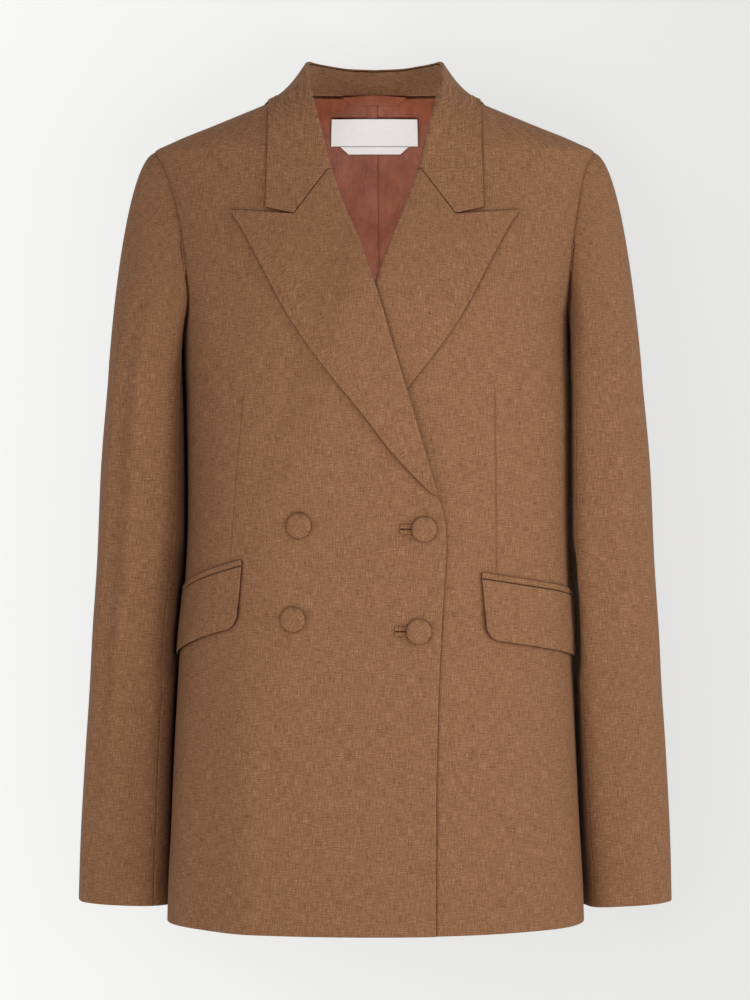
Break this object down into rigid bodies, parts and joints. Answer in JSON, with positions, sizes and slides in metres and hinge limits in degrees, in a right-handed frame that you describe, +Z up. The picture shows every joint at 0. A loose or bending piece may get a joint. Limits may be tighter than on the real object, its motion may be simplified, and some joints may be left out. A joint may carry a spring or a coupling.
{
  "type": "double breasted blazer",
  "caption": "Long double-breasted blazer with peak lapels, a turned collar, flap pockets, covered buttons and plain sleeves, filled out and open at neck, hem and cuffs.",
  "frame": {"origin": "midway between the two points where the shoulder seams meet the neck, which is where the wearer's shoulders carry it", "axes": "+Z up, the front faces -Y, +X is the wearer's left; the right front lies on top"},
  "size_m": [0.531, 0.248, 0.7799],
  "materials": {
    "brown_wool": "matt plain-woven wool",
    "rust_satin": "smooth satin lining",
    "white_woven_label": "plain white woven tape"
  },
  "bodies": {
    "root": {"front_right": "brown_wool", "front_left": "brown_wool", "back_left": "brown_wool", "back_right": "brown_wool", "top_sleeve_right": "brown_wool", "top_sleeve_left": "brown_wool", "under_sleeve_right": "brown_wool", "under_sleeve_left": "brown_wool", "lapel_right": "brown_wool", "lapel_left": "brown_wool", "collar": "brown_wool", "collar_stand": "brown_wool", "pocket_flap_right": "brown_wool", "pocket_flap_left": "brown_wool", "pocket_welt_right": "brown_wool", "pocket_welt_left": "brown_wool", "buttonhole_upper": "brown_wool", "buttonhole_lower": "brown_wool", "button_right_upper": "brown_wool", "button_right_lower": "brown_wool", "button_front_upper": "brown_wool", "button_front_lower": "brown_wool", "back_lining_right": "rust_satin", "back_lining_left": "rust_satin", "hanger_loop": "rust_satin", "neck_label": "white_woven_label", "size_tab": "white_woven_label"}
  },
  "joints": []
}
